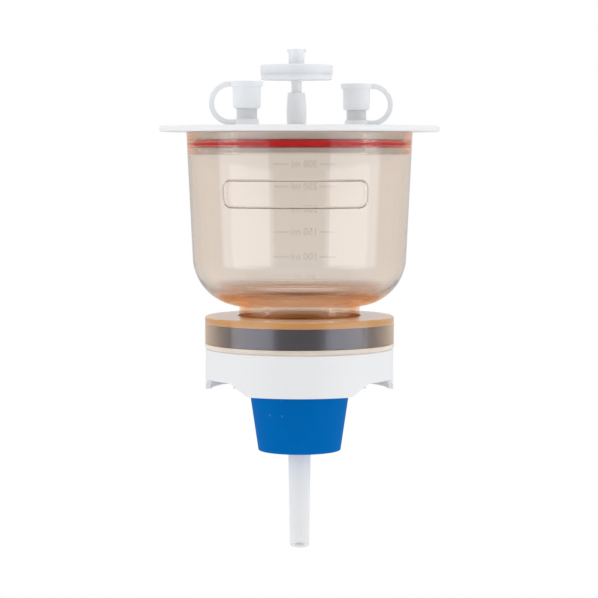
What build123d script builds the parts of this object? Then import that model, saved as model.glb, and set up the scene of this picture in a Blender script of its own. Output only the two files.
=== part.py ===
from build123d import *
import os

# A vacuum filtration unit for 47 mm membranes. A clear funnel is held on a white support base by
# two rings of magnets, a lid plugs the bowl, and the base plugs a flask neck by its stopper.
# Lengths are in millimetres and angles in degrees. +Z is up, the front faces -Y, and the origin is
# on the axis, half-way up the stopper's cone, where the mouth of the flask grips it.

# Clearances
SLIP = 0.15  # between pieces that are taken apart by hand
SNUG = 0.05  # between pieces that stay together

# Stopper
STOPPER_HEIGHT = 25.0
STOPPER_TOP_DIAMETER = 40.7
STOPPER_BOTTOM_DIAMETER = 33.3
STOPPER_EDGE = 0.5

# Support base with its outlet stem
BASE_HEIGHT = 16.85
BASE_FLARE = 0.1  # how far the skirt's foot stands out beyond its top
BASE_EDGE = 0.7
BASE_DECK = 1.6
BASE_WALL = 2.2
SKIRT_WALL = 1.85
FOOT_DROP = 0.25  # how far the feet reach below the stopper's seat
FOOT_COUNT = 3
ARCH_HEIGHT = 4.9
ARCH_TOP_WIDTH = 18.8
ARCH_MOUTH_WIDTH = 35.4
ARCH_ROUND = 4.9
RIB_COUNT = 6
RIB_THICKNESS = 1.6
DRAIN_DEPTH = 6.5
DRAIN_WALL = 2.2
STEM_ROOT_DIAMETER = 10.0
STEM_TIP_DIAMETER = 7.75
STEM_LENGTH = 65.95
STEM_BORE = 3.8
STEM_CUT_RISE = 4.4  # rise of the slanted cut across the tip

# Membrane, its screen and its gasket
MEMBRANE_DIAMETER = 47.0
MEMBRANE_THICKNESS = 0.2
SCREEN_THICKNESS = 2.4
SCREEN_LEDGE = 2.6
SCREEN_HOLE = 2.2
SCREEN_RINGS = 3
COLLAR_HEIGHT = 1.3
COLLAR_WALL = 2.2
COLLAR_WEB = 1.95  # wall between the collar's groove and the magnets' channel
GASKET_WIDTH = 1.6
GASKET_THICKNESS = 1.6

# Magnets: quarter rings, alike in the funnel and in the base
MAGNET_COUNT = 4
MAGNET_WIDTH = 8.0
MAGNET_HEIGHT = 8.6
MAGNET_GAP = 0.6
MAGNET_SEAM_ANGLE = 42.5
CLOSURE_THICKNESS = 1.75  # the rings that close the two magnet channels

# Funnel
FLANGE_HEIGHT = 12.9
FLANGE_OVERHANG = 0.25  # how far the flange stands out beyond the base
FLANGE_EDGE = 0.8
THROAT_INSET = 3.0  # from the membrane's edge in to the throat
THROAT_LIP = 0.7  # wall between the throat and the gasket
NECK_WALL = 3.9
NECK_HEIGHT = 4.1
NECK_ROUND = 1.0
MOUTH_ROUND = 4.9  # rounding of the throat's upper mouth
BOWL_HEIGHT = 69.95
BOWL_OVERHANG = 7.35  # how far the rim stands out beyond the flange
BOWL_TAPER = 2.45  # from the rim in to the shoulder
BOWL_CORNER = 20.2
BOWL_WALL = 2.6
BOWL_FLOOR = 4.1
RIM_ROUND = 0.5

# Lid
LID_OVERHANG = 10.8  # how far the lid stands out beyond the rim
LID_THICKNESS = 2.4
LID_EDGE = 1.0
PLUG_DEPTH = 8.3
PLUG_WALL = 4.6
PLUG_PLAY = 0.5
SEAL_SECTION = 3.3
SEAL_DROP = 4.7  # from the lid's underside to the middle of the seal
SEAL_PLAY = 0.1
PORT_DIAMETER = 8.1
PORT_BORE = 5.2
PORT_HEIGHT = 15.2
PORT_EDGE = 0.4
LEFT_PORT_REACH = 26.9  # from the axis
RIGHT_PORT_REACH = 28.8
LEFT_PORT_ANGLE = 219.5
RIGHT_PORT_ANGLE = 36.0
NIPPLE_DIAMETER = 4.7
NIPPLE_BORE = 2.6
NIPPLE_HEIGHT = 7.0

# Caps: cup, strap and ring in one silicone moulding
CAP_DIAMETER = 11.0
CAP_HEIGHT = 10.8
CAP_ROOF = 2.2
CAP_FOOT_ROUND = 1.2
CAP_BRIM_DIAMETER = 12.8
CAP_BRIM_THICKNESS = 2.2
CAP_RING_DIAMETER = 10.0
CAP_RING_TAPER = 0.4  # from the ring's foot in to its top
CAP_RING_HEIGHT = 2.6
STRAP_WIDTH = 3.4
STRAP_THICKNESS = 2.1
STRAP_REACH = 15.0
STRAP_EDGE = 0.5
LEFT_STRAP_ANGLE = 183.0
RIGHT_STRAP_ANGLE = -3.0

# Vent filter in its silicone sleeve
VENT_OFFSET = 1.2  # how far the vent stands to the left of the axis
SLEEVE_HEIGHT = 13.4
SLEEVE_FOOT_DIAMETER = 7.5
SLEEVE_BELLY_DIAMETER = 8.0
SLEEVE_BELLY_HEIGHT = 5.6
SLEEVE_TOP_DIAMETER = 6.9
SLEEVE_EDGE = 0.7
NOZZLE_DIAMETER = 4.1
NOZZLE_TIP_DIAMETER = 3.9
NOZZLE_BORE = 1.8
NOZZLE_INSERTION = 5.4
NOZZLE_REACH = 4.95  # from the sleeve's mouth up to the housing
HOUSING_DIAMETER = 29.1
HOUSING_STEP = 0.3
OUTLET_SHELL_HEIGHT = 2.4
INLET_SHELL_HEIGHT = 3.6
HOUSING_EDGE = 0.4
NOZZLE_ROOT_ROUND = 1.0
HOUSING_RIDGES = 3
RIDGE_DEPTH = 0.12
VENT_DISC_INSET = 2.05  # from the housing's edge in to the vent filter's membrane
VENT_DISC_THICKNESS = 0.4
VENT_CHAMBER = 0.6
LUER_DIAMETER = 6.4
LUER_HEIGHT = 6.3
LUER_MOUTH = 4.3
LUER_TAPER = 0.06
LUER_DEPTH = 7.5
LUER_LUG_SPAN = 7.7
LUER_LUG_WIDTH = 2.6
LUER_LUG_HEIGHT = 1.1

# Levels, each from the one below it
STOPPER_TOP = STOPPER_HEIGHT / 2
STOPPER_BOTTOM = -STOPPER_HEIGHT / 2
FOOT = STOPPER_TOP - FOOT_DROP
JOINT = FOOT + BASE_HEIGHT  # where the funnel stands on the base
STEM_TIP = STOPPER_TOP - STEM_LENGTH
MEMBRANE_BOTTOM = JOINT - MEMBRANE_THICKNESS
SCREEN_BOTTOM = MEMBRANE_BOTTOM - SCREEN_THICKNESS
FLANGE_TOP = JOINT + FLANGE_HEIGHT
BOWL_BOTTOM = FLANGE_TOP + NECK_HEIGHT
RIM = BOWL_BOTTOM + BOWL_HEIGHT
LID_TOP = RIM + LID_THICKNESS
SEAL_LEVEL = RIM - SEAL_DROP
PORT_TOP = LID_TOP + PORT_HEIGHT
CAP_TOP = PORT_TOP + CAP_ROOF
SLEEVE_TOP = LID_TOP + SLEEVE_HEIGHT
HOUSING_BOTTOM = SLEEVE_TOP + NOZZLE_REACH
HOUSING_SEAM = HOUSING_BOTTOM + OUTLET_SHELL_HEIGHT
HOUSING_TOP = HOUSING_SEAM + INLET_SHELL_HEIGHT
LUER_TOP = HOUSING_TOP + LUER_HEIGHT

# Radii, each from the one inside it
THROAT_RADIUS = MEMBRANE_DIAMETER / 2 - THROAT_INSET
NECK_RADIUS = THROAT_RADIUS + NECK_WALL
MEMBRANE_SEAT_RADIUS = MEMBRANE_DIAMETER / 2 + SLIP
COLLAR_RADIUS = MEMBRANE_SEAT_RADIUS + COLLAR_WALL
CHANNEL_INNER_RADIUS = COLLAR_RADIUS + SLIP + COLLAR_WEB
MAGNET_INNER_RADIUS = CHANNEL_INNER_RADIUS + SNUG
MAGNET_OUTER_RADIUS = MAGNET_INNER_RADIUS + MAGNET_WIDTH
CHANNEL_OUTER_RADIUS = MAGNET_OUTER_RADIUS + SNUG
BASE_TOP_RADIUS = CHANNEL_OUTER_RADIUS + SKIRT_WALL
BASE_FOOT_RADIUS = BASE_TOP_RADIUS + BASE_FLARE
FLANGE_RADIUS = BASE_TOP_RADIUS + FLANGE_OVERHANG
RIM_RADIUS = FLANGE_RADIUS + BOWL_OVERHANG
SHOULDER_RADIUS = RIM_RADIUS - BOWL_TAPER
LID_RADIUS = RIM_RADIUS + LID_OVERHANG
HOUSING_RADIUS = HOUSING_DIAMETER / 2
VENT_DISC_RADIUS = HOUSING_RADIUS - VENT_DISC_INSET

# Where the magnets lie, and where each port stands: its radius, its angle and its strap's angle
BASE_CHANNEL_TOP = JOINT - BASE_DECK
BASE_MAGNET_BOTTOM = BASE_CHANNEL_TOP - SNUG - MAGNET_HEIGHT
FUNNEL_MAGNET_BOTTOM = JOINT + CLOSURE_THICKNESS + SNUG
PORTS = {
    "left": (LEFT_PORT_REACH, LEFT_PORT_ANGLE, LEFT_STRAP_ANGLE),
    "right": (RIGHT_PORT_REACH, RIGHT_PORT_ANGLE, RIGHT_STRAP_ANGLE),
}


def band(inner, outer, low, high):
    """The half section of a plain ring: radii across and levels up."""
    return Pos((inner + outer) / 2, (low + high) / 2) * Rectangle(outer - inner, high - low)


def outline(*points):
    """A half section with straight sides through (radius, level) points."""
    return make_face(Polyline(*points, close=True))


def rounded(section, radius, *corners):
    """The section with the corners nearest to the given points rounded."""
    for corner in corners:
        section = fillet(section.vertices().sort_by_distance(Vector(*corner))[0], radius)
    return section


def turned(section, arc=360):
    """The solid that a half section sweeps about the axis."""
    return revolve(Plane.XZ * section, Axis.Z, arc)


def polar(radius, angle):
    """A place at a radius and an angle about the axis, turned to face outwards."""
    return Rot(0, 0, angle) * Pos(radius, 0, 0)


def stem_radius(level):
    """The stem's tapering outside."""
    share = (STOPPER_TOP - level) / STEM_LENGTH
    return (STEM_ROOT_DIAMETER + (STEM_TIP_DIAMETER - STEM_ROOT_DIAMETER) * share) / 2


def bowl_radius(level):
    """The bowl's drafted outside, above its rounded corner."""
    shoulder = BOWL_BOTTOM + BOWL_CORNER
    return SHOULDER_RADIUS + BOWL_TAPER * (level - shoulder) / (RIM - shoulder)


def stopper():
    """A tapered silicone stopper, bored to grip the stem."""
    top, bottom = STOPPER_TOP_DIAMETER / 2, STOPPER_BOTTOM_DIAMETER / 2
    section = outline(
        (stem_radius(STOPPER_TOP) + SNUG, STOPPER_TOP),
        (top, STOPPER_TOP),
        (bottom, STOPPER_BOTTOM),
        (stem_radius(STOPPER_BOTTOM) + SNUG, STOPPER_BOTTOM),
    )
    section = rounded(section, STOPPER_EDGE, (top, STOPPER_TOP), (bottom, STOPPER_BOTTOM))
    return turned(section)


def arch():
    """The prism that cuts one arch out of the base's skirt, facing +X."""
    low = FOOT - ARCH_HEIGHT
    mouth, top = ARCH_MOUTH_WIDTH / 2, ARCH_TOP_WIDTH / 2
    side = mouth + ARCH_ROUND
    section = outline(
        (-side, low),
        (-side, FOOT),
        (-mouth, FOOT),
        (-top, FOOT + ARCH_HEIGHT),
        (top, FOOT + ARCH_HEIGHT),
        (mouth, FOOT),
        (side, FOOT),
        (side, low),
    )
    section = rounded(
        section,
        ARCH_ROUND,
        (-mouth, FOOT),
        (-top, FOOT + ARCH_HEIGHT),
        (top, FOOT + ARCH_HEIGHT),
        (mouth, FOOT),
    )
    start = CHANNEL_INNER_RADIUS + BASE_WALL
    return Pos(start, 0, 0) * extrude(Plane.YZ * section, BASE_FOOT_RADIUS)


def stem_cut():
    """The block below the slanted cut that opens the stem's tip to the front."""
    width = STEM_ROOT_DIAMETER
    radius = STEM_TIP_DIAMETER / 2
    slope = STEM_CUT_RISE / STEM_TIP_DIAMETER
    front = STEM_TIP + slope * (radius + width)
    back = STEM_TIP - slope * width
    low = back - width
    section = outline(
        (-width, front), (radius + width, back), (radius + width, low), (-width, low)
    )
    return extrude(Plane.YZ * section, width, both=True)


def support_base():
    """Deck, skirt, magnet channel, drain cone and outlet stem in one moulding."""
    top, foot = BASE_TOP_RADIUS, BASE_FOOT_RADIUS
    skirt_inner = CHANNEL_OUTER_RADIUS
    channel_wall = CHANNEL_INNER_RADIUS - BASE_WALL
    closure_bottom = BASE_MAGNET_BOTTOM - SNUG - CLOSURE_THICKNESS
    rim = outline((skirt_inner, FOOT), (skirt_inner, JOINT), (top, JOINT), (foot, FOOT))
    rim = rounded(rim, BASE_EDGE, (top, JOINT))
    ledge = MEMBRANE_SEAT_RADIUS - SCREEN_LEDGE
    drain_bottom = SCREEN_BOTTOM - DRAIN_DEPTH
    section = rim + band(0, skirt_inner, BASE_CHANNEL_TOP, JOINT)
    section += band(channel_wall, CHANNEL_INNER_RADIUS, closure_bottom, JOINT)
    section += band(MEMBRANE_SEAT_RADIUS, COLLAR_RADIUS, JOINT, JOINT + COLLAR_HEIGHT)
    section += outline(
        (0, drain_bottom - DRAIN_WALL),
        (STEM_BORE / 2, drain_bottom - DRAIN_WALL),
        (channel_wall, SCREEN_BOTTOM - DRAIN_WALL),
        (channel_wall, JOINT),
        (0, JOINT),
    )
    section += outline(
        (0, STEM_TIP),
        (STEM_TIP_DIAMETER / 2, STEM_TIP),
        (STEM_ROOT_DIAMETER / 2, STOPPER_TOP),
        (STEM_ROOT_DIAMETER / 2, SCREEN_BOTTOM),
        (0, SCREEN_BOTTOM),
    )
    base = turned(section)
    rib_length = channel_wall + BASE_WALL / 2
    rib_height = drain_bottom + DRAIN_DEPTH / 2 - STOPPER_TOP
    rib = Box(rib_length, RIB_THICKNESS, rib_height, align=(Align.MIN, Align.CENTER, Align.MIN))
    for turn in range(RIB_COUNT):
        base += Rot(0, 0, turn * 360 / RIB_COUNT) * Pos(0, 0, STOPPER_TOP) * rib
    hollow = band(0, MEMBRANE_SEAT_RADIUS, SCREEN_BOTTOM, JOINT + COLLAR_HEIGHT)
    hollow += outline((0, drain_bottom), (STEM_BORE / 2, drain_bottom), (ledge, SCREEN_BOTTOM),
                      (0, SCREEN_BOTTOM))
    hollow += band(0, STEM_BORE / 2, STEM_TIP, SCREEN_BOTTOM)
    base -= turned(hollow)
    for turn in range(FOOT_COUNT):
        base -= Rot(0, 0, 90 + turn * 360 / FOOT_COUNT) * arch()
    return base - stem_cut()


def closure(low):
    """A flat ring that closes a magnet channel, from its lower level."""
    inner = CHANNEL_INNER_RADIUS + SNUG
    outer = CHANNEL_OUTER_RADIUS - SNUG
    return turned(band(inner, outer, low, low + CLOSURE_THICKNESS))


def magnet(index, bottom):
    """One quarter ring of a magnet set."""
    share = 360 / MAGNET_COUNT
    section = band(MAGNET_INNER_RADIUS, MAGNET_OUTER_RADIUS, bottom, bottom + MAGNET_HEIGHT)
    arc = turned(section, share)
    gap = Box(4 * MAGNET_OUTER_RADIUS, MAGNET_GAP, 4 * MAGNET_OUTER_RADIUS)
    piece = arc - gap - Rot(0, 0, share) * gap
    return Rot(0, 0, MAGNET_SEAM_ANGLE + index * share) * piece


def support_screen():
    """The perforated disc that the membrane lies on."""
    radius = MEMBRANE_DIAMETER / 2
    screen = turned(band(0, radius, SCREEN_BOTTOM, MEMBRANE_BOTTOM))
    pitch = (radius - SCREEN_LEDGE) / (SCREEN_RINGS + 0.5)
    hole = Pos(0, 0, SCREEN_BOTTOM) * Cylinder(SCREEN_HOLE / 2, 3 * SCREEN_THICKNESS)
    holes = [hole]
    for ring in range(1, SCREEN_RINGS + 1):
        count = 6 * ring
        holes += [polar(ring * pitch, turn * 360 / count) * hole for turn in range(count)]
    return screen - holes


def membrane():
    """The filter membrane, a thin round sheet."""
    return turned(band(0, MEMBRANE_DIAMETER / 2, MEMBRANE_BOTTOM, JOINT))


def gasket():
    """The flat ring in the funnel's foot that presses on the edge of the membrane."""
    inner = THROAT_RADIUS + THROAT_LIP
    return turned(band(inner, inner + GASKET_WIDTH, JOINT, JOINT + GASKET_THICKNESS))


def funnel():
    """Bowl, neck and flange in one clear moulding, with the channel for its magnets."""
    shoulder = BOWL_BOTTOM + BOWL_CORNER
    wall_foot = bowl_radius(BOWL_BOTTOM)
    bowl = outline((0, BOWL_BOTTOM), (wall_foot, BOWL_BOTTOM), (RIM_RADIUS, RIM), (0, RIM))
    bowl = rounded(bowl, BOWL_CORNER, (wall_foot, BOWL_BOTTOM))
    disc = band(0, FLANGE_RADIUS, JOINT, FLANGE_TOP)
    disc = rounded(disc, FLANGE_EDGE, (FLANGE_RADIUS, FLANGE_TOP), (FLANGE_RADIUS, JOINT))
    section = bowl + disc + band(0, NECK_RADIUS, FLANGE_TOP, shoulder)
    section = rounded(section, NECK_ROUND, (NECK_RADIUS, FLANGE_TOP), (NECK_RADIUS, BOWL_BOTTOM))
    floor = BOWL_BOTTOM + BOWL_FLOOR
    inside = outline((0, floor), (wall_foot - BOWL_WALL, floor), (RIM_RADIUS - BOWL_WALL, RIM),
                     (0, RIM))
    corner = wall_foot - BOWL_WALL - THROAT_RADIUS - MOUTH_ROUND - SNUG
    inside = rounded(inside, corner, (wall_foot - BOWL_WALL, floor))
    inside += band(0, THROAT_RADIUS, JOINT, shoulder)
    inside = rounded(inside, MOUTH_ROUND, (THROAT_RADIUS, floor))
    section -= inside
    section = rounded(section, RIM_ROUND, (RIM_RADIUS, RIM), (RIM_RADIUS - BOWL_WALL, RIM))
    seat = THROAT_RADIUS + THROAT_LIP
    seat_top = JOINT + GASKET_THICKNESS + SNUG
    section -= band(seat - SNUG, seat + GASKET_WIDTH + SNUG, JOINT, seat_top)
    groove_top = JOINT + COLLAR_HEIGHT + SLIP
    section -= band(MEMBRANE_SEAT_RADIUS - SLIP, COLLAR_RADIUS + SLIP, JOINT, groove_top)
    channel_top = FUNNEL_MAGNET_BOTTOM + MAGNET_HEIGHT + SNUG
    section -= band(CHANNEL_INNER_RADIUS, CHANNEL_OUTER_RADIUS, JOINT, channel_top)
    return turned(section)


def lid():
    """A flat lid with a grooved plug, two feed ports and a vent nipple."""
    plug = bowl_radius(RIM - PLUG_DEPTH) - BOWL_WALL - PLUG_PLAY
    bottom = RIM - PLUG_DEPTH
    disc = band(0, LID_RADIUS, RIM, LID_TOP)
    disc = rounded(disc, LID_EDGE, (LID_RADIUS, RIM), (LID_RADIUS, LID_TOP))
    section = disc + band(plug - PLUG_WALL, plug, bottom, RIM)
    groove = SEAL_SECTION / 2 + SNUG
    section -= band(seal_radius() - groove, plug, SEAL_LEVEL - groove, SEAL_LEVEL + groove)
    body = turned(section)
    port_radius = PORT_DIAMETER / 2
    port = turned(rounded(band(0, port_radius, RIM, PORT_TOP), PORT_EDGE, (port_radius, PORT_TOP)))
    port_bore = turned(band(0, PORT_BORE / 2, RIM, PORT_TOP))
    nipple_top = LID_TOP + NIPPLE_HEIGHT
    nipple = turned(band(0, NIPPLE_DIAMETER / 2, RIM, nipple_top))
    nipple_bore = turned(band(0, NIPPLE_BORE / 2, RIM, nipple_top))
    vent = Pos(-VENT_OFFSET, 0, 0)
    places = [polar(reach, angle) for reach, angle, _ in PORTS.values()]
    body += [place * port for place in places] + [vent * nipple]
    return body - [place * port_bore for place in places] - vent * nipple_bore


def seal_radius():
    """Radius of the seal ring's middle, just inside the bowl's wall."""
    return bowl_radius(SEAL_LEVEL) - BOWL_WALL - SEAL_PLAY - SEAL_SECTION / 2


def lid_seal():
    """The round seal ring in the plug's groove."""
    return turned(Pos(seal_radius(), SEAL_LEVEL) * Circle(SEAL_SECTION / 2))


def strap():
    """The looped strap of a cap, reaching out along +X from the port's axis."""
    half = STRAP_THICKNESS / 2
    high = CAP_TOP - CAP_BRIM_THICKNESS / 2
    low = LID_TOP + CAP_RING_HEIGHT / 2
    bend = (high - low) / 2
    centre = STRAP_REACH - half - bend
    middle = (high + low) / 2
    outer = band(0, centre, low - half, high + half) + Pos(centre, middle) * Circle(bend + half)
    inner = band(-half, centre, low + half, high - half) + Pos(centre, middle) * Circle(bend - half)
    loop = outer - inner
    loop = extrude(Plane.XZ * loop, STRAP_WIDTH / 2, both=True)
    edges = [e for e in loop.edges() if abs(e.bounding_box().size.Y) < STRAP_EDGE]
    edges = [e for e in edges if e.center().X > STRAP_EDGE]
    return fillet(edges, STRAP_EDGE)


def cap(side):
    """Cup, brim, strap and ring of one feed port's cap."""
    radius, brim, ring = CAP_DIAMETER / 2, CAP_BRIM_DIAMETER / 2, CAP_RING_DIAMETER / 2
    foot = CAP_TOP - CAP_HEIGHT
    cup = rounded(band(0, radius, foot, CAP_TOP), CAP_FOOT_ROUND, (radius, foot))
    plate = band(0, brim, CAP_TOP - CAP_BRIM_THICKNESS, CAP_TOP)
    plate = rounded(plate, STRAP_EDGE, (brim, CAP_TOP), (brim, CAP_TOP - CAP_BRIM_THICKNESS))
    collar = outline(
        (0, LID_TOP),
        (ring, LID_TOP),
        (ring - CAP_RING_TAPER, LID_TOP + CAP_RING_HEIGHT),
        (0, LID_TOP + CAP_RING_HEIGHT),
    )
    body = turned(cup + plate) + turned(collar) + strap()
    gap = band(0, radius, LID_TOP + CAP_RING_HEIGHT, foot)
    body -= turned(gap + band(0, PORT_DIAMETER / 2 + SLIP, LID_TOP, PORT_TOP))
    reach, angle, strap_angle = PORTS[side]
    return polar(reach, angle) * Rot(0, 0, strap_angle - angle) * body


def vent_sleeve():
    """The soft sleeve that joins the lid's nipple to the vent filter's nozzle."""
    foot, belly, top = SLEEVE_FOOT_DIAMETER / 2, SLEEVE_BELLY_DIAMETER / 2, SLEEVE_TOP_DIAMETER / 2
    widest = LID_TOP + SLEEVE_BELLY_HEIGHT
    side = ThreePointArc((foot, LID_TOP), (belly, widest), (top, SLEEVE_TOP))
    ends = Polyline((top, SLEEVE_TOP), (0, SLEEVE_TOP), (0, LID_TOP), (foot, LID_TOP))
    section = make_face(side + ends)
    section = rounded(section, SLEEVE_EDGE, (top, SLEEVE_TOP))
    nipple = NIPPLE_DIAMETER / 2 + SNUG
    section -= band(0, nipple, LID_TOP, LID_TOP + NIPPLE_HEIGHT + SNUG)
    tip = SLEEVE_TOP - NOZZLE_INSERTION - SLIP
    section -= outline((0, tip), (NOZZLE_TIP_DIAMETER / 2 + SNUG, tip),
                       (NOZZLE_DIAMETER / 2 + SNUG, SLEEVE_TOP), (0, SLEEVE_TOP))
    section -= band(0, NIPPLE_BORE / 2, LID_TOP, SLEEVE_TOP)
    return turned(section)


def vent_outlet():
    """The vent filter's lower shell, with its slip nozzle."""
    radius = HOUSING_RADIUS - HOUSING_STEP
    nozzle = NOZZLE_DIAMETER / 2
    disc = band(0, radius, HOUSING_BOTTOM, HOUSING_SEAM)
    disc = rounded(disc, HOUSING_EDGE, (radius, HOUSING_BOTTOM))
    tip = SLEEVE_TOP - NOZZLE_INSERTION
    section = disc + outline(
        (0, tip),
        (NOZZLE_TIP_DIAMETER / 2, tip),
        (nozzle, SLEEVE_TOP),
        (nozzle, HOUSING_BOTTOM),
        (0, HOUSING_BOTTOM),
    )
    section = rounded(section, NOZZLE_ROOT_ROUND, (nozzle, HOUSING_BOTTOM))
    section -= band(0, NOZZLE_BORE / 2, tip, HOUSING_SEAM)
    chamber = VENT_DISC_RADIUS - VENT_CHAMBER
    section -= band(0, chamber, HOUSING_SEAM - VENT_CHAMBER, HOUSING_SEAM)
    return turned(section)


def vent_disc():
    """The vent filter's own membrane, clamped between its shells."""
    return turned(band(0, VENT_DISC_RADIUS, HOUSING_SEAM, HOUSING_SEAM + VENT_DISC_THICKNESS))


def vent_inlet():
    """The vent filter's upper shell, ridged round its rim, with its locking inlet."""
    radius = HOUSING_RADIUS
    disc = rounded(band(0, radius, HOUSING_SEAM, HOUSING_TOP), HOUSING_EDGE, (radius, HOUSING_TOP))
    pitch = INLET_SHELL_HEIGHT / (HOUSING_RIDGES + 1)
    for ridge in range(1, HOUSING_RIDGES + 1):
        level = HOUSING_SEAM + ridge * pitch
        disc -= band(radius - RIDGE_DEPTH, radius, level - RIDGE_DEPTH, level + RIDGE_DEPTH)
    section = disc + band(0, LUER_DIAMETER / 2, HOUSING_TOP, LUER_TOP)
    mouth, end = LUER_MOUTH / 2, (LUER_MOUTH - LUER_TAPER * LUER_DEPTH) / 2
    section -= outline((0, LUER_TOP), (mouth, LUER_TOP), (end, LUER_TOP - LUER_DEPTH),
                       (0, LUER_TOP - LUER_DEPTH))
    section -= band(0, NOZZLE_BORE / 2, HOUSING_SEAM, LUER_TOP)
    chamber = VENT_DISC_RADIUS
    section -= band(0, chamber, HOUSING_SEAM, HOUSING_SEAM + VENT_DISC_THICKNESS)
    chamber_top = HOUSING_SEAM + VENT_DISC_THICKNESS + VENT_CHAMBER
    section -= band(0, chamber - VENT_CHAMBER, HOUSING_SEAM, chamber_top)
    lug_inner, lug_outer = (LUER_MOUTH + LUER_DIAMETER) / 4, LUER_LUG_SPAN / 2
    lugs = turned(band(lug_inner, lug_outer, LUER_TOP - LUER_LUG_HEIGHT, LUER_TOP))
    lugs &= Pos(0, 0, LUER_TOP) * Box(LUER_LUG_SPAN, LUER_LUG_WIDTH, 3 * LUER_LUG_HEIGHT)
    return turned(section) + lugs


def pieces():
    """Every piece under the name of its node."""
    vent = Pos(-VENT_OFFSET, 0, 0)
    named = {
        "stopper": stopper(),
        "support_base": support_base(),
        "base_magnet_cover": closure(BASE_MAGNET_BOTTOM - SNUG - CLOSURE_THICKNESS),
        "support_screen": support_screen(),
        "membrane_filter": membrane(),
        "funnel": funnel(),
        "funnel_magnet_cover": closure(JOINT),
        "funnel_gasket": gasket(),
        "lid": lid(),
        "lid_seal_ring": lid_seal(),
        "vent_sleeve": vent * vent_sleeve(),
        "vent_filter_outlet": vent * vent_outlet(),
        "vent_filter_disc": vent * vent_disc(),
        "vent_filter_inlet": vent * vent_inlet(),
    }
    for index in range(MAGNET_COUNT):
        named[f"base_magnet_{index + 1}"] = magnet(index, BASE_MAGNET_BOTTOM)
        named[f"funnel_magnet_{index + 1}"] = magnet(index, FUNNEL_MAGNET_BOTTOM)
    for side in PORTS:
        named[f"port_cap_{side}"] = cap(side)
    return named


os.makedirs("parts", exist_ok=True)
for name, shape in pieces().items():
    export_step(shape, f"parts/{name}.step")
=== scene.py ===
import math

import bmesh
import bpy
from bpy.props import FloatProperty, FloatVectorProperty, IntProperty, PointerProperty
from mathutils import Matrix, Vector


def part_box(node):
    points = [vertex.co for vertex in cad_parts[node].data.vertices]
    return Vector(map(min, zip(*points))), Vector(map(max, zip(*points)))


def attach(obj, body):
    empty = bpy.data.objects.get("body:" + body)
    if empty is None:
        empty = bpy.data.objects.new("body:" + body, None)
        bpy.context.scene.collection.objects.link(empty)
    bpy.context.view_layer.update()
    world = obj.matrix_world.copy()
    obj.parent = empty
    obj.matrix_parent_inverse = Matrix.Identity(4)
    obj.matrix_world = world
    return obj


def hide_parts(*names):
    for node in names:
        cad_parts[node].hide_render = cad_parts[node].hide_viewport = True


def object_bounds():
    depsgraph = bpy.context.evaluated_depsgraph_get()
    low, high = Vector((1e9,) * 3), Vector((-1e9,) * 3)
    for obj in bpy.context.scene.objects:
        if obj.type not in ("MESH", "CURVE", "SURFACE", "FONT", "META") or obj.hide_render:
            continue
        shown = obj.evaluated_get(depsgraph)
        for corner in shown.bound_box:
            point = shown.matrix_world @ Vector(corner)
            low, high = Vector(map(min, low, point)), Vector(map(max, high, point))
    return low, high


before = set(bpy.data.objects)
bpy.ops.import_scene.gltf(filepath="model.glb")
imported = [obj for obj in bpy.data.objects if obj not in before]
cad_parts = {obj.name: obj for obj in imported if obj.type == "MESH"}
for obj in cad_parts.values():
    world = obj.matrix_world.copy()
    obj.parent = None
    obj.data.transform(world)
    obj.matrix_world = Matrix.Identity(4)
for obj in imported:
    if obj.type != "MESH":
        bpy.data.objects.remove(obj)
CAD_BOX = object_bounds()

bl_info = {
    "name": "Membrane filtration unit",
    "version": (1, 0, 0),
    "blender": (4, 5, 0),
    "location": "3D View > Sidebar > Filtration",
    "description": "Dresses a magnetic filter funnel with its lid, caps, support base and stopper",
    "category": "Object",
}

MM = 0.001
FULL_TURN = 2 * math.pi
SMOOTH_ANGLE = math.radians(35)  # sharper edges stay sharp in the shading
WELD = 0.001 * MM  # points nearer than this become one
SKIN_DEPTH = 3 * MM  # how far light spreads inside cloudy and soft polymers
CORNER_STEPS = 28  # points along each of the bowl's corners
CORNER_START = -80  # degrees: the outer corner starts just outside the neck
SEAL_OPENING = 30  # degrees: the seal's round side leaves this much free on each side of its land
SEAL_STEPS = 24
VOLUME_LEVELS = {50: 54.1, 100: 63.9, 150: 74.4, 200: 84.0, 250: 93.5, 300: 102.9}  # ml to mm


# Shader maths -----------------------------------------------------------------------------------


class Term:
    """A value in a shader, on which Python's operators add Math nodes."""

    def __init__(self, graph, socket):
        self.graph = graph
        self.socket = socket

    def maths(self, operation, *terms, clamp=False):
        settings = {"operation": operation, "use_clamp": clamp}
        return self.graph.add("ShaderNodeMath", settings, dict(enumerate(terms)))["Value"]

    def __add__(self, other):
        return self.maths("ADD", self, other)

    def __radd__(self, other):
        return self.maths("ADD", other, self)

    def __sub__(self, other):
        return self.maths("SUBTRACT", self, other)

    def __rsub__(self, other):
        return self.maths("SUBTRACT", other, self)

    def __mul__(self, other):
        return self.maths("MULTIPLY", self, other)

    def __rmul__(self, other):
        return self.maths("MULTIPLY", other, self)

    def __truediv__(self, other):
        return self.maths("DIVIDE", self, other)

    def __abs__(self):
        return self.maths("ABSOLUTE", self)

    def __gt__(self, other):
        return self.maths("GREATER_THAN", self, other)

    def __lt__(self, other):
        return self.maths("LESS_THAN", self, other)

    def at_least(self, other):
        return self.maths("MAXIMUM", self, other)

    def clamped(self):
        return self.maths("ADD", self, 0, clamp=True)

    def length_with(self, other):
        return self.maths("SQRT", self * self + other * other)

    def angle_from(self, other):
        return self.maths("ARCTAN2", self, other)


class Outputs:
    """The outputs of one node, by name, each as a Term."""

    def __init__(self, graph, node):
        self.graph = graph
        self.node = node

    def __getitem__(self, name):
        return Term(self.graph, self.node.outputs[name])


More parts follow.
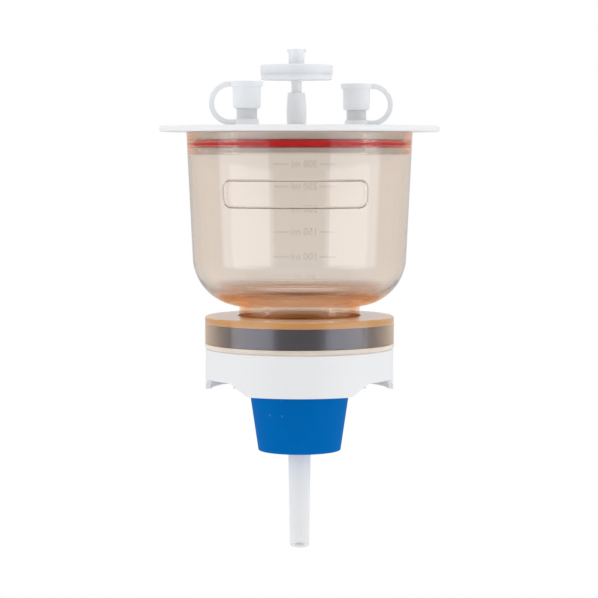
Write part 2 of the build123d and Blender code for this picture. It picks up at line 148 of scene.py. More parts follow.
class Graph:
    """A node tree of a material or a world, built node by node."""

    def __init__(self, owner):
        owner.use_nodes = True
        self.tree = owner.node_tree
        self.tree.nodes.clear()

    def add(self, kind, settings=None, inputs=None):
        node = self.tree.nodes.new(kind)
        for name, value in (settings or {}).items():
            setattr(node, name, value)
        for name, value in (inputs or {}).items():
            if isinstance(value, Term):
                self.tree.links.new(value.socket, node.inputs[name])
            else:
                node.inputs[name].default_value = value
        return Outputs(self, node)

    def place(self):
        """Where a point lies in the part's own frame."""
        return self.add("ShaderNodeTexCoord")["Object"]

    def split(self, vector):
        parts = self.add("ShaderNodeSeparateXYZ", None, {"Vector": vector})
        return parts["X"], parts["Y"], parts["Z"]

    def noise(self, size, detail=2.0, stretch=(1, 1, 1), roughness=0.5):
        """Soft noise from 0 to 1 with features of about the given size."""
        moved = self.add("ShaderNodeMapping", None, {"Vector": self.place(), "Scale": stretch})
        values = {
            "Vector": moved["Vector"],
            "Scale": 1 / size,
            "Detail": detail,
            "Roughness": roughness,
        }
        return self.add("ShaderNodeTexNoise", None, values)["Fac"]

    def specks(self, size, share):
        """Small round spots, 1 in a spot and 0 between, on a share of the cells."""
        cells = self.add("ShaderNodeTexVoronoi", None, {"Vector": self.place(), "Scale": 1 / size})
        drawn, _, _ = self.split(cells["Color"])
        return (cells["Distance"] < 0.25) * (drawn < share)

    def blend(self, factor, first, second):
        settings = {"data_type": "RGBA", "clamp_factor": True}
        made = self.add("ShaderNodeMix", settings, {0: factor, 6: opaque(first), 7: opaque(second)})
        return Term(self, made.node.outputs[2])

    def bump(self, height, depth, under=None):
        values = {"Height": height, "Distance": depth, "Strength": 1.0}
        if under is not None:
            values["Normal"] = under
        return self.add("ShaderNodeBump", None, values)["Normal"]


def opaque(colour):
    """A colour with the alpha that a colour socket wants, or a link as it is."""
    return colour if isinstance(colour, Term) else (*colour, 1.0)


def shaded(colour, share):
    """A colour made darker or lighter by one factor."""
    return tuple(share * part for part in colour)


def finish_of(name, surface, volume=None, cloud=None):
    """A material from the values of its principled shader, of its absorbing inside if it has one,
    and of the cloudy shader that shows on a share of it."""
    material = bpy.data.materials.new(name)
    graph = Graph(material)
    shader = graph.add("ShaderNodeBsdfPrincipled", None, surface(graph))["BSDF"]
    if cloud:
        share, values = cloud(graph)
        cloudy = graph.add("ShaderNodeBsdfPrincipled", None, values)["BSDF"]
        shader = graph.add("ShaderNodeMixShader", None, {0: share, 1: shader, 2: cloudy})["Shader"]
    links = {"Surface": shader}
    if volume:
        links["Volume"] = graph.add("ShaderNodeVolumeAbsorption", None, volume)["Volume"]
    graph.add("ShaderNodeOutputMaterial", None, links)
    return material


# Sizes and colours ------------------------------------------------------------------------------


def length(name, description, default):
    return FloatProperty(name=name, description=description, default=default * MM, unit="LENGTH")


def number(name, description, default):
    return FloatProperty(name=name, description=description, default=default)


def degrees(name, description, default):
    turn = math.radians(default)
    return FloatProperty(name=name, description=description, default=turn, subtype="ANGLE")


def colour(name, description, default):
    return FloatVectorProperty(
        name=name, description=description, default=default, subtype="COLOR", size=3, min=0, max=1
    )


class FiltrationSizes(bpy.types.PropertyGroup):
    """Sizes that the frame's boxes don't give."""

    spin_steps: IntProperty(
        name="Spin steps", description="Facets round a turned piece", default=192
    )
    support: length("Support edge", "Width of the narrow faces beside a rounded edge", 0.12)
    wall: length("Bowl wall", "Thickness of the bowl's side wall", 2.6)
    corner: length("Bowl corner", "Radius of the bowl's rounded corner, outside", 20.2)
    shoulder: length("Shoulder radius", "Outer radius of the bowl at the top of its corner", 43.05)
    floor: length("Bowl floor", "Thickness of the bowl's floor", 4.1)
    mouth: length("Mouth rounding", "Rounding of the throat's upper mouth", 4.9)
    neck: length("Neck radius", "Outer radius of the neck under the bowl", 24.4)
    neck_height: length("Neck height", "From the flange's top to the bowl's underside", 4.1)
    throat: length("Throat radius", "Radius of the hole above the membrane", 20.5)
    flange: length("Flange radius", "Outer radius of the funnel's flange", 38.15)
    flange_height: length("Flange height", "Thickness of the funnel's flange", 12.9)
    channel_height: length("Channel height", "Depth of the magnets' channel", 10.45)
    channel_inner: length("Channel inner radius", "Inner wall of the magnets' channel", 27.95)
    channel_outer: length("Channel outer radius", "Outer wall of the magnets' channel", 36.05)
    seat_depth: length("Seat depth", "Depth of the grooves under the funnel", 1.6)
    gasket_width: length("Gasket width", "Width of the gasket's groove", 1.6)
    collar_inner: length("Collar inner radius", "Inner wall of the base collar's groove", 23.5)
    collar_outer: length("Collar outer radius", "Outer wall of the base collar's groove", 26.0)
    neck_round: length("Neck rounding", "Rounding of the neck's corners", 1.0)
    flange_round: length("Flange rounding", "Rounding of the flange's edges", 0.8)
    rim_round: length("Rim rounding", "Rounding of the bowl's rim", 0.5)
    rim_lap: length("Rim lap", "Depth below the rim in which the wall is clearer", 9.0)
    cloud_lap: length("Cloud lap", "How far the cloud laps round the flange's faces", 0.2)
    foot_band: length("Foot band", "Height of the pale band at the flange's foot", 1.9)
    band_reach: length("Band reach", "How far the pale band reaches in past the channel", 0.3)
    root_start: length("Root start", "From the bowl's underside to where its tint fades", 3.5)
    root_fade: length("Root fade", "Height over which the tint fades", 4.0)
    root_lap: length("Root lap", "How far the neck's tint reaches up into the bowl", 1.0)
    seal_land: length("Seal land", "Half the height of the seal's contact with the bowl", 0.7)
    seal_press: length("Seal press", "How far the seal's contact bites into the wall", 0.02)
    plate_width: length("Plate width", "Width of the raised frame on the bowl's front", 59.2)
    plate_height: length("Plate height", "Height of the raised frame", 10.4)
    plate_corner: length("Plate corner", "Corner radius of the raised frame", 3.6)
    plate_level: length("Plate level", "Height of the frame's middle", 91.9)
    plate_shift: length("Plate shift", "How far the frame stands off the middle", 1.98)
    plate_line: length("Plate line", "Half the width of the frame's ridge", 0.5)
    plate_relief: length("Plate relief", "How far the frame's ridge stands out", 0.25)
    mark_width: length("Mark width", "Length of a volume line", 7.0)
    mark_line: length("Mark line", "Thickness of a volume line", 0.4)
    mark_text: length("Mark text", "Height of the volume numbers' font", 4.3)
    mark_gap: length("Mark gap", "From the numbers' middle to the nearer end of a line", 6.7)
    mark_shift: length("Mark shift", "How far the marks stand off the middle", 2.2)
    mark_clearance: length("Mark clearance", "From the wall to the marks' inner face", 0.03)
    mark_thickness: length("Mark thickness", "Thickness of the marks' print", 0.04)


class FiltrationColours(bpy.types.PropertyGroup):
    """Colours of the finishes."""

    amber: colour("Amber", "What the clear polymer lets through", (0.933, 0.5, 0.067))
    amber_depth: number("Amber depth", "Absorption per metre", 60.0)
    white: colour("White", "Moulded parts of the base", (0.90, 0.88, 0.865))
    lid_white: colour("Lid white", "Lid, which lets some light through", (0.90, 0.89, 0.88))
    silicone: colour("Silicone", "Translucent silicone", (0.985, 0.985, 0.985))
    red: colour("Seal red", "Seal ring", (0.9, 0.012, 0.012))
    blue: colour("Stopper blue", "Stopper", (0.0, 0.148, 0.49))
    magnet: colour("Magnet", "Plated magnets", (0.08, 0.077, 0.11))
    housing: colour("Vent filter", "Vent filter's translucent housing", (0.93, 0.93, 0.94))
    membrane: colour("Membrane", "Filter membranes", (0.9, 0.9, 0.89))
    mark: colour("Marks", "Volume marks", (0.32, 0.17, 0.10))


class FiltrationStage(bpy.types.PropertyGroup):
    """Camera, lamps and floor."""

    camera_distance: length("Camera distance", "From the axis to the camera", 900.0)
    camera_height: length("Camera height", "Height of the camera", 108.5)
    camera_side: length("Camera side", "How far the camera stands to the right", -0.2)
    camera_tilt: degrees("Camera tilt", "Downward", 3.8)
    camera_lens: number("Lens", "Focal length in millimetres", 134.4)
    lamp_distance: length("Lamp distance", "From the axis to the softboxes", 900.0)
    lamp_width: length("Lamp width", "Width of a softbox", 1000.0)
    lamp_height: length("Lamp height", "Height of a softbox", 1000.0)
    lamp_angle: degrees("Lamp angle", "Round from the camera", 60)
    lamp_colour: colour("Lamp colour", "Colour of the softboxes", (0.8, 0.9, 1.0))
    left_power: number("Left power", "Watts", 3.4)
    right_power: number("Right power", "Watts", 3.6)
    front_light: number("Front light", "Strength of the room in front", 0.3)
    back_light: number("Back light", "Strength of the room behind", 0.72)
    top_light: number("Top light", "Strength of the room overhead", 1.05)
    room_rise: number("Room rise", "How fast the room brightens from front to back", 1.25)
    room_middle: number("Room middle", "Share of the back light at the sides", 0.75)
    top_rise: number("Top rise", "How fast the overhead light sets in with height", 2.0)
    top_lean: number("Top lean", "How far the overhead light leans to the back", 0.4)
    top_start: number("Top start", "What the height has to outweigh before it starts", 0.5)
    floor_radius: length("Floor radius", "Radius of the floor", 40000.0)
    floor_drop: length("Floor drop", "From the outlet's tip down to the floor", 110.0)
    floor_reach: length("Floor reach", "How far in front its reflection is dimmest", 2500.0)
    floor_fade: length("Floor fade", "Depth over which it dims", 1000.0)


def sizes():
    return bpy.context.scene.filtration_sizes


def colours():
    return bpy.context.scene.filtration_colours


# Modelling --------------------------------------------------------------------------------------


def arc(centre, radius, first, last, steps=10):
    """Points along an arc between two angles, in degrees up from straight outwards."""
    points = []
    for step in range(steps + 1):
        angle = math.radians(first + (last - first) * step / steps)
        points.append((centre[0] + radius * math.cos(angle), centre[1] + radius * math.sin(angle)))
    return points


def rounded(points, steps=6):
    """An outline's points, with each corner given as (across, up, radius) made an arc."""
    made = []
    for index, point in enumerate(points):
        if len(point) == 2:
            made.append(point)
            continue
        here = Vector(point[:2])
        before = (Vector(points[index - 1][:2]) - here).normalized()
        after = (Vector(points[(index + 1) % len(points)][:2]) - here).normalized()
        half = before.angle(after) / 2
        middle = here + (before + after).normalized() * point[2] / math.sin(half)
        start = here + before * point[2] / math.tan(half) - middle
        end = here + after * point[2] / math.tan(half) - middle
        turn = start.angle_signed(end)
        for step in range(steps + 1):
            spoke = start.copy()
            spoke.rotate(Matrix.Rotation(-turn * step / steps, 2))
            made.append(tuple(middle + spoke))
    return made


def supported(points):
    """An outline with a point near each end of its long lines, which keeps their shading flat."""
    edge = sizes().support
    made = []
    for index, point in enumerate(points):
        here, ahead = Vector(point), Vector(points[(index + 1) % len(points)])
        made.append(point)
        if (ahead - here).length > 4 * edge:
            step = (ahead - here).normalized() * edge
            made += [tuple(here + step), tuple(ahead - step)]
    return made


def deselect():
    """Leaves edit mode and clears the selection."""
    if bpy.context.object and bpy.context.object.mode != "OBJECT":
        bpy.ops.object.mode_set(mode="OBJECT")
    bpy.ops.object.select_all(action="DESELECT")


def draw(points):
    """A closed outline in the XZ plane, drawn by extruding one vertex from point to point."""
    deselect()
    bpy.ops.mesh.primitive_plane_add(size=MM)
    bpy.ops.object.mode_set(mode="EDIT")
    bpy.ops.mesh.select_all(action="SELECT")
    bpy.ops.mesh.merge(type="CENTER")
    bpy.ops.transform.translate(value=(points[0][0], 0, points[0][1]))
    for before, after in zip(points, points[1:]):
        step = (after[0] - before[0], 0, after[1] - before[1])
        bpy.ops.mesh.extrude_region_move(TRANSFORM_OT_translate={"value": step})
    bpy.ops.mesh.select_all(action="SELECT")
    mesh = bmesh.from_edit_mesh(bpy.context.object.data)
    ends = [vertex for vertex in mesh.verts if len(vertex.link_edges) == 1]
    for vertex in mesh.verts:
        vertex.select_set(vertex in ends)
    mesh.select_flush_mode()
    bpy.ops.mesh.edge_face_add()


def lathe(name, points):
    """A turned piece: its closed half section is drawn and spun about the axis."""
    draw(supported(points))
    bpy.ops.mesh.select_all(action="SELECT")
    steps = sizes().spin_steps
    bpy.ops.mesh.spin(steps=steps, angle=FULL_TURN, center=(0, 0, 0), axis=(0, 0, 1))
    bpy.ops.mesh.select_all(action="SELECT")
    bpy.ops.mesh.remove_doubles(threshold=WELD)
    bpy.ops.mesh.normals_make_consistent(inside=False)
    bpy.ops.object.mode_set(mode="OBJECT")
    piece = bpy.context.object
    piece.name = name
    bpy.ops.object.shade_smooth_by_angle(angle=SMOOTH_ANGLE)
    return piece


def select(*pieces):
    """Selects pieces alone, with the first one active."""
    deselect()
    for piece in pieces:
        piece.select_set(True)
    bpy.context.view_layer.objects.active = pieces[0]


def apply(piece, kind, **settings):
    """Adds a modifier to a piece and applies it."""
    modifier = piece.modifiers.new(kind.title(), kind)
    for name, value in settings.items():
        setattr(modifier, name, value)
    select(piece)
    bpy.ops.object.modifier_apply(modifier=modifier.name)


def settle(piece):
    """Moves a piece's place into its mesh, so that its object sits at the origin."""
    select(piece)
    bpy.ops.object.transform_apply(location=True, rotation=True, scale=True)


def joined(name, pieces):
    """Several pieces made one object."""
    select(*pieces)
    bpy.ops.object.join()
    pieces[0].name = name
    return pieces[0]


def dress(piece, material):
    """Gives a piece one finish."""
    piece.data.materials.clear()
    piece.data.materials.append(material)


def fit(piece, material, body, slot, *nodes):
    """Finishes a modelled piece and stands it in for its frame nodes."""
    dress(piece, material)
    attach(piece, body)
    if nodes:
        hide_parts(*nodes)


def carry(node, material):
    """Keeps a frame node's own shape under a finish."""
    dress(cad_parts[node], material)


# Finishes ---------------------------------------------------------------------------------------


def frame_ridge(across, depth, height):
    """The raised frame on the bowl's front: 1 along its ridge and 0 beside it."""
    size = sizes()
    along = across.angle_from(0 - depth) * size.shoulder + size.plate_shift
    inner_width = size.plate_width / 2 - size.plate_corner
    inner_height = size.plate_height / 2 - size.plate_corner
    beyond = (abs(along) - inner_width).at_least(0)
    above = (abs(height - size.plate_level) - inner_height).at_least(0)
    edge = abs(beyond.length_with(above) - size.plate_corner)
    ridge = (1 - edge / size.plate_line).clamped()
    outside = across.length_with(depth) > size.shoulder - 0.1 * size.wall
    return ridge * outside * (depth < 0)


def root_tint(height, bowl):
    """Full tint at the bowl's root, fading out up its corner."""
    size = sizes()
    return (1 - (height - bowl - size.root_start) / size.root_fade).clamped()


def clear_amber():
    """Clear sulfone polymer, deeper amber where it is thicker, with the frame's ridge on its
    front, a cloudy share in the flange and at the bowl's root, and a painted orange glow on the
    flange's outer wall where it turns away from the camera."""
    size = sizes()

    def surface(graph):
        across, depth, height = graph.split(graph.place())
        ridge = frame_ridge(across, depth, height)
        flow = graph.bump(graph.noise(18 * MM, detail=1.0, stretch=(1, 1, 0.5)), 0.03 * MM)
        _, flange, bowl, _, rim = funnel_levels()
        skirt = height < flange - size.flange_round
        root = root_tint(height, bowl) * (height > flange)
        neck = (height > flange) * (height < bowl + size.root_lap)
        return {
            "Base Color": graph.blend(ridge, (1.0, 1.0, 1.0), (0.93, 0.86, 0.80)),
            "Roughness": 0.03 + graph.noise(30 * MM) * 0.04 + skirt * 0.15,
            "IOR": 1.65,
            "Specular IOR Level": 0.6,
            "Transmission Weight": 1.0,
            "Alpha": 1 - root * 0.6 - neck * 0.2 - (height > rim - size.rim_lap) * 0.45,
            "Normal": graph.bump(ridge, size.plate_relief, flow),
        }

    def cloud(graph):
        across, depth, height = graph.split(graph.place())
        radius = across.length_with(depth)
        foot, flange, bowl, _, _ = funnel_levels()
        roof = foot + size.channel_height
        lap = size.cloud_lap
        side = (height < flange - lap) * (radius > size.channel_outer)
        slab = (height > roof - lap) * (height < flange + lap) * (0.95 - 0.35 * side)
        root = root_tint(height, bowl) * (height > bowl + size.root_lap)
        band = (height < foot + size.foot_band) * (radius > size.channel_outer - size.band_reach)
        mist = 0.9 + graph.noise(7 * MM, stretch=(1, 1, 2)) * 0.2
        skirt = (height < roof) * (radius > size.channel_outer)
        # painted glow: the facing term mixes orange cloud into the outer wall below the channel's
        # roof, strongest where the wall turns away from the camera
        facing = graph.add("ShaderNodeLayerWeight", None, {"Blend": 0.5})["Facing"]
        share = (slab + root * 0.3 + band * 0.8) * mist + skirt * facing * facing * 0.45
        tint = graph.blend(graph.noise(12 * MM), (1.0, 0.46, 0.15), (1.0, 0.51, 0.19))
        values = {
            "Base Color": graph.blend(band, tint, (1.0, 0.80, 0.66)),
            "Roughness": 0.06,
            "IOR": 1.6,
            "Subsurface Weight": 0.5,
            "Subsurface Radius": (1.0, 0.8, 0.6),
            "Subsurface Scale": SKIN_DEPTH,
        }
        return share, values

    inside = {"Color": opaque(colours().amber), "Density": colours().amber_depth}
    return finish_of("clear_amber_polymer", surface, inside, cloud)


def cloudy_amber():
    """Paler, cloudy amber polymer of the ring that closes the funnel's magnet channel."""

    def surface(graph):
        mist = graph.noise(6 * MM)
        return {
            "Base Color": graph.blend(mist, (0.92, 0.74, 0.60), (0.95, 0.80, 0.68)),
            "Roughness": 0.3 + mist * 0.1,
            "IOR": 1.5,
            "Subsurface Weight": 0.4,
            "Subsurface Radius": (1.0, 0.9, 0.8),
            "Subsurface Scale": SKIN_DEPTH,
            "Normal": graph.bump(graph.noise(1.2 * MM), 0.01 * MM),
        }

    return finish_of("cloudy_amber_polymer", surface)


def white_moulding(name, base, depth):
    """Satin white polymer with faint flow shades and a fine moulded grain. Light enters it to a
    depth in millimetres."""

    def surface(graph):
        shade = graph.noise(45 * MM, detail=3.0)
        grain = graph.bump(graph.noise(0.5 * MM), 0.006 * MM)
        return {
            "Base Color": graph.blend(shade, shaded(base, 0.97), base),
            "Roughness": 0.33 + graph.noise(12 * MM, detail=3.0) * 0.14,
            "IOR": 1.49,
            "Subsurface Weight": 0.05 * depth,
            "Subsurface Radius": (1.0, 0.95, 0.9),
            "Subsurface Scale": depth * MM,
            "Normal": grain,
        }

    return finish_of(name, surface)


def silicone(name, base, roughness, dark=0.96, subsurface=0.5, gloss=0.5):
    """Silicone: a soft sheen over a slightly uneven, finely dimpled skin."""

    def surface(graph):
        cloud = graph.noise(9 * MM, detail=3.0)
        dust = graph.specks(2.4 * MM, 0.05)
        skin = graph.bump(graph.noise(0.35 * MM, detail=3.0), 0.012 * MM)
        skin = graph.bump(graph.noise(6 * MM, detail=1.0), 0.05 * MM, skin)
        tint = graph.blend(cloud, shaded(base, dark), base)
        return {
            "Base Color": graph.blend(dust * 0.05, tint, (0.8, 0.8, 0.8)),
            "Roughness": roughness + cloud * 0.1 + dust * 0.1,
            "IOR": 1.41,
            "Specular IOR Level": gloss,
            "Subsurface Weight": subsurface,
            "Subsurface Radius": (1.0, 1.0, 1.0),
            "Subsurface Scale": SKIN_DEPTH,
            "Normal": skin,
        }

    return finish_of(name, surface)


def vent_housing():
    """Hard translucent polymer of the vent filter, glossy, with a faint cloudiness."""

    def surface(graph):
        base = colours().housing
        cloud = graph.noise(5 * MM, detail=3.0)
        return {
            "Base Color": graph.blend(cloud, shaded(base, 0.95), base),
            "Roughness": 0.16 + cloud * 0.12,
            "IOR": 1.49,
            "Subsurface Weight": 0.4,
            "Subsurface Radius": (1.0, 1.0, 1.0),
            "Subsurface Scale": SKIN_DEPTH,
            "Normal": graph.bump(graph.noise(1.2 * MM), 0.008 * MM),
        }

    return finish_of("vent_housing", surface)


def plated_magnet():
    """Dark plated magnet: glossy metal with upright streaks, small pits and uneven tone."""

    def surface(graph):
        base = colours().magnet
        grain = graph.noise(0.8 * MM, detail=4.0)
        streaks = graph.noise(0.5 * MM, detail=3.0, stretch=(1, 1, 0.03))
        pits = graph.specks(0.9 * MM, 0.3)
        return {
            "Base Color": graph.blend(grain, shaded(base, 0.7), shaded(base, 1.5)),
            "Roughness": 0.16 + streaks * 0.12,
            "Metallic": 1.0,
            "Normal": graph.bump(streaks - pits * 0.2, 0.02 * MM),
        }

    return finish_of("sintered_magnet", surface)


def membrane_paper():
    """Filter membrane: a matte sheet with a fine felted grain."""

    def surface(graph):
        base = colours().membrane
        felt = graph.noise(0.3 * MM, detail=4.0, roughness=0.7)
        return {
            "Base Color": graph.blend(felt, shaded(base, 0.94), base),
            "Roughness": 0.8 + felt * 0.15,
            "Normal": graph.bump(felt, 0.01 * MM),
        }

    return finish_of("membrane_sheet", surface)


def mark_ink():
    """The volume marks: slightly darker amber that the wall behind shows through."""

    def surface(graph):
        base = colours().mark
        worn = graph.noise(1.5 * MM, detail=3.0)
        return {
            "Base Color": graph.blend(worn, base, shaded(base, 1.3)),
            "Roughness": 0.45,
            "Alpha": 0.10 + worn * 0.12,
        }

    return finish_of("volume_marks", surface)


# Pieces -----------------------------------------------------------------------------------------


def funnel_levels():
    """Heights of the funnel's underside, flange top, bowl underside, shoulder and rim."""
    size = sizes()
    low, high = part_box("funnel")
    flange = low.z + size.flange_height
    bowl = flange + size.neck_height
    return low.z, flange, bowl, bowl + size.corner, high.z


def bowl_radius(height):
    """The bowl's drafted outside above its corner."""
    shoulder_level, rim_level = funnel_levels()[3:]
    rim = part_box("funnel")[1].x
    share = (height - shoulder_level) / (rim_level - shoulder_level)
    return sizes().shoulder + (rim - sizes().shoulder) * share


def funnel_outline():
    """The funnel's half section: grooves and magnet channel below, neck, bowl and throat above."""
    size = sizes()
    foot, flange, bowl, shoulder, rim = funnel_levels()
    rim_radius = bowl_radius(rim)
    draft = math.atan2(rim_radius - size.shoulder, rim - shoulder)
    centre = (size.shoulder - size.corner / math.cos(draft), shoulder)
    throat_mouth = size.throat + size.mouth
    inner_corner = size.shoulder - size.wall / math.cos(draft) - throat_mouth - size.support
    gasket_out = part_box("funnel_gasket")[1].x
    gasket_in = gasket_out - size.gasket_width
    seat = foot + size.seat_depth
    floor = bowl + size.floor
    inner_across = size.shoulder - (size.wall + inner_corner) / math.cos(draft)
    inner_centre = (inner_across, floor + inner_corner)
    below = [
        (size.throat, foot),
        (gasket_in, foot),
        (gasket_in, seat),
        (gasket_out, seat),
        (gasket_out, foot),
        (size.collar_inner, foot),
        (size.collar_inner, seat),
        (size.collar_outer, seat),
        (size.collar_outer, foot),
        (size.channel_inner, foot),
        (size.channel_inner, foot + size.channel_height),
        (size.channel_outer, foot + size.channel_height),
        (size.channel_outer, foot),
        (size.flange, foot, size.flange_round),
        (size.flange, flange, size.flange_round),
        (size.neck, flange, size.neck_round),
        (size.neck, bowl, size.neck_round),
    ]
    outer = arc(centre, size.corner, CORNER_START, -math.degrees(draft), CORNER_STEPS)
    top = [(rim_radius, rim, size.rim_round), (rim_radius - size.wall, rim, size.rim_round)]
    inner = arc(inner_centre, inner_corner, -math.degrees(draft), -90, CORNER_STEPS)
    throat = [(size.throat, floor, size.mouth)]
    return rounded(below + outer + top + inner + throat)


class FILTRATION_OT_funnel(bpy.types.Operator):
    """Models the clear funnel with its bowl, neck and flange"""

    bl_idname = "filtration.funnel"
    bl_label = "Clear funnel"

    def execute(self, context):
        amber = clear_amber()
        piece = lathe("clear_funnel", funnel_outline())
        fit(piece, amber, "funnel", "clear_amber_polymer", "funnel")
        carry("funnel_magnet_cover", cloudy_amber())
        return {"FINISHED"}


class FILTRATION_OT_marks(bpy.types.Operator):
    """Lays the volume lines and numbers on the back of the bowl"""

    bl_idname = "filtration.marks"
    bl_label = "Volume marks"

    def execute(self, context):
        size = sizes()
        reach = bowl_radius(funnel_levels()[4])
        facing_back = (math.pi / 2, 0, math.pi)
        parts = []
        for volume, level in VOLUME_LEVELS.items():
            deselect()
            bpy.ops.object.text_add(
                location=(size.mark_shift, reach, level * MM), rotation=facing_back
            )
            text = context.object
            text.data.body = f"{volume} ml"
            text.data.size = size.mark_text
            text.data.align_x = "CENTER"
            text.data.align_y = "CENTER"
            bpy.ops.object.convert(target="MESH")
            parts.append(context.object)
            for side in (-1, 1):
                middle = size.mark_shift + side * (size.mark_gap + size.mark_width / 2)
                deselect()
                bpy.ops.mesh.primitive_plane_add(
                    size=1, location=(middle, reach, level * MM), rotation=facing_back
                )
                line = context.object
                line.scale = (size.mark_width, size.mark_line, 1)
                bpy.ops.object.mode_set(mode="EDIT")
                bpy.ops.mesh.subdivide(number_cuts=8)
                bpy.ops.object.mode_set(mode="OBJECT")
                parts.append(line)
        marks = joined("volume_marks", parts)
        settle(marks)
        apply(
            marks,
            "SHRINKWRAP",
            target=bpy.data.objects["clear_funnel"],
            wrap_method="PROJECT",
            use_project_y=True,
            use_project_z=False,
            use_negative_direction=True,
            use_positive_direction=False,
            offset=size.mark_clearance,
        )
        apply(marks, "SOLIDIFY", thickness=size.mark_thickness, offset=1)
        fit(marks, mark_ink(), "funnel", "clear_amber_polymer")
        return {"FINISHED"}


class FILTRATION_OT_magnets(bpy.types.Operator):
    """Finishes the two sets of quarter-ring magnets"""

    bl_idname = "filtration.magnets"
    bl_label = "Magnets"

    def execute(self, context):
        plated = plated_magnet()
        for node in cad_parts:
            if "_magnet_" in node and not node.endswith("cover"):
                carry(node, plated)
        return {"FINISHED"}


class FILTRATION_OT_lid(bpy.types.Operator):
    """Finishes the lid and its vent sleeve and models its seal ring"""

    bl_idname = "filtration.lid"
    bl_label = "Lid, seal and sleeve"

    def execute(self, context):
        carry("lid", white_moulding("white_lid", colours().lid_white, depth=10.0))
        low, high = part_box("lid_seal_ring")
        section = (high.z - low.z) / 2
        level = (high.z + low.z) / 2
        middle = (high.x - section, level)
        wall = bowl_radius(level) - sizes().wall + sizes().seal_press
        land = sizes().seal_land
        round_side = arc(middle, section, SEAL_OPENING, 360 - SEAL_OPENING, SEAL_STEPS)
        seal = lathe("lid_seal", [(wall, level - land), (wall, level + land)] + round_side)
        red = silicone("red_silicone", colours().red, 0.22, dark=0.85, subsurface=0.0, gloss=0.1)
        fit(seal, red, "lid", "red_silicone", "lid_seal_ring")
        carry("vent_sleeve", silicone("translucent_silicone", colours().silicone, 0.35))
        return {"FINISHED"}


class FILTRATION_OT_caps(bpy.types.Operator):
    """Finishes the two port caps"""

    bl_idname = "filtration.caps"
    bl_label = "Port caps"

    def execute(self, context):
        soft = bpy.data.materials["translucent_silicone"]
        for side in ("left", "right"):
            carry(f"port_cap_{side}", soft)
        return {"FINISHED"}


class FILTRATION_OT_vent(bpy.types.Operator):
    """Finishes the vent filter"""

    bl_idname = "filtration.vent"
    bl_label = "Vent filter"

    def execute(self, context):
        hard = vent_housing()
        carry("vent_filter_inlet", hard)
        carry("vent_filter_outlet", hard)
        carry("vent_filter_disc", membrane_paper())
        return {"FINISHED"}


class FILTRATION_OT_base(bpy.types.Operator):
    """Finishes the support base, its cover and screen, the membrane and the gasket"""

    bl_idname = "filtration.base"
    bl_label = "Support base"

    def execute(self, context):
        white = white_moulding("white_moulding", colours().white, depth=2.0)
        for node in ("support_base", "base_magnet_cover", "support_screen"):
            carry(node, white)
        carry("membrane_filter", bpy.data.materials["membrane_sheet"])
        carry("funnel_gasket", silicone("white_silicone", colours().silicone, 0.4))
        return {"FINISHED"}


class FILTRATION_OT_stopper(bpy.types.Operator):
    """Finishes the tapered silicone stopper"""

    bl_idname = "filtration.stopper"
    bl_label = "Stopper"

    def execute(self, context):
        blue = colours().blue
        carry("stopper", silicone("blue_silicone", blue, 0.5, dark=0.9, subsurface=0.0, gloss=0.02))
        return {"FINISHED"}


# Stage ------------------------------------------------------------------------------------------


def room_level(around, settings):
    """The room's strength, from 0 in front of the object to 1 behind it."""
    return around * (settings.back_light - settings.front_light) + settings.front_light


def room_light(settings):
    """The world: white to the camera, pale behind the object, dimmer in front, bright on top."""
    world = bpy.data.worlds.new("room")
    bpy.context.scene.world = world
    graph = Graph(world)
    _, depth, height = graph.split(graph.add("ShaderNodeTexCoord")["Generated"])
    around = (depth * settings.room_rise + settings.room_middle).clamped()
    above = height * settings.top_rise + depth * settings.top_lean - settings.top_start
    above = above.clamped()
    room = room_level(around, settings) * (1 - above) + above * settings.top_light
    rays = graph.add("ShaderNodeLightPath")
    strength = room.at_least(rays["Is Camera Ray"])
    light = graph.add("ShaderNodeBackground", None, {"Color": (1, 1, 1, 1), "Strength": strength})
    graph.add("ShaderNodeOutputWorld", None, {"Surface": light["Background"]})


def pale_floor(settings):
    """A wide pale floor: white to the camera, graded like the room in gloss and through glass."""
    deselect()
    level = CAD_BOX[0].z - settings.floor_drop
    bpy.ops.mesh.primitive_circle_add(
        vertices=64, radius=settings.floor_radius, fill_type="NGON", location=(0, 0, level)
    )
    floor = bpy.context.object
    floor.name = "floor"
    settle(floor)
    material = bpy.data.materials.new("pale_floor")
    graph = Graph(material)
    rays = graph.add("ShaderNodeLightPath")
    matte = graph.add("ShaderNodeBsdfDiffuse", None, {"Color": (0.9, 0.9, 0.9, 1)})
    glow = graph.add("ShaderNodeEmission", None, {"Color": (1, 1, 1, 1), "Strength": 1.0})
    _, depth, _ = graph.split(graph.add("ShaderNodeTexCoord")["Object"])
    around = ((depth + settings.floor_reach) / settings.floor_fade).clamped()
    room = room_level(around, settings)
    seen = graph.add("ShaderNodeEmission", None, {"Color": (1, 1, 1, 1), "Strength": room})
    shader = matte["BSDF"]
    shiny = rays["Is Glossy Ray"].at_least(rays["Is Transmission Ray"])
    for share, light in ((shiny, seen), (rays["Is Camera Ray"], glow)):
        mix = {0: share, 1: shader, 2: light["Emission"]}
        shader = graph.add("ShaderNodeMixShader", None, mix)["Shader"]
    graph.add("ShaderNodeOutputMaterial", None, {"Surface": shader})
    dress(floor, material)


def softbox(name, angle, power, settings):
    """One softbox, turned to the object."""
    centre = (CAD_BOX[0] + CAD_BOX[1]) / 2
    place = Vector((math.sin(angle), -math.cos(angle), 0)) * settings.lamp_distance
    place.z = centre.z
    deselect()
    bpy.ops.object.light_add(type="AREA", location=place)
    lamp = bpy.context.object
    lamp.name = name
    lamp.data.shape = "RECTANGLE"
    lamp.data.size = settings.lamp_width
    lamp.data.size_y = settings.lamp_height
    lamp.data.energy = power
    lamp.data.color = settings.lamp_colour
    lamp.rotation_euler = (centre - place).to_track_quat("-Z", "Y").to_euler()


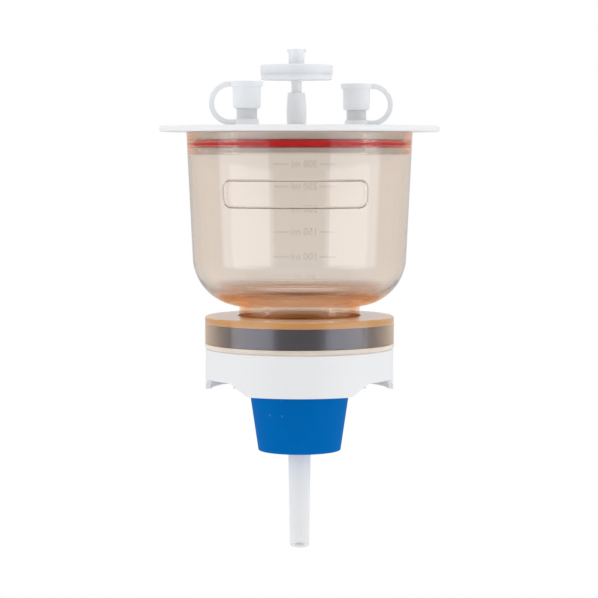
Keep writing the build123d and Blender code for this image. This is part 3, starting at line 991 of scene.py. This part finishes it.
class FILTRATION_OT_stage(bpy.types.Operator):
    """Sets the floor, the room, the softboxes and the camera"""

    bl_idname = "filtration.stage"
    bl_label = "Stage"

    def execute(self, context):
        settings = context.scene.filtration_stage
        room_light(settings)
        pale_floor(settings)
        softbox("left_softbox", -settings.lamp_angle, settings.left_power, settings)
        softbox("right_softbox", settings.lamp_angle, settings.right_power, settings)
        deselect()
        bpy.ops.object.camera_add(
            location=(settings.camera_side, -settings.camera_distance, settings.camera_height),
            rotation=(math.pi / 2 - settings.camera_tilt, 0, 0),
        )
        camera = context.object
        camera.data.lens = settings.camera_lens
        camera.data.clip_end = 100
        context.scene.camera = camera
        context.scene.view_settings.view_transform = "Standard"
        return {"FINISHED"}


# Panel ------------------------------------------------------------------------------------------

OPERATORS = (
    FILTRATION_OT_funnel,
    FILTRATION_OT_marks,
    FILTRATION_OT_magnets,
    FILTRATION_OT_lid,
    FILTRATION_OT_caps,
    FILTRATION_OT_vent,
    FILTRATION_OT_base,
    FILTRATION_OT_stopper,
    FILTRATION_OT_stage,
)


class FILTRATION_PT_panel(bpy.types.Panel):
    """Lists the pieces and their sizes in the sidebar"""

    bl_idname = "FILTRATION_PT_panel"
    bl_label = "Filtration unit"
    bl_space_type = "VIEW_3D"
    bl_region_type = "UI"
    bl_category = "Filtration"

    def draw(self, context):
        for operator in OPERATORS:
            self.layout.operator(operator.bl_idname)
        for group in (sizes(), colours(), context.scene.filtration_stage):
            box = self.layout.box()
            for name in group.__annotations__:
                box.prop(group, name)


GROUPS = {
    "filtration_sizes": FiltrationSizes,
    "filtration_colours": FiltrationColours,
    "filtration_stage": FiltrationStage,
}


def register():
    for group in (*GROUPS.values(), *OPERATORS, FILTRATION_PT_panel):
        bpy.utils.register_class(group)
    for name, group in GROUPS.items():
        setattr(bpy.types.Scene, name, PointerProperty(type=group))


def unregister():
    for name in GROUPS:
        delattr(bpy.types.Scene, name)
    for group in (FILTRATION_PT_panel, *reversed(OPERATORS), *reversed(GROUPS.values())):
        bpy.utils.unregister_class(group)


def main():
    """Dresses the frame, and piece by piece."""
    register()
    for operator in OPERATORS:
        family, name = operator.bl_idname.split(".")
        getattr(getattr(bpy.ops, family), name)()
    deselect()


if __name__ == "__main__":
    main()
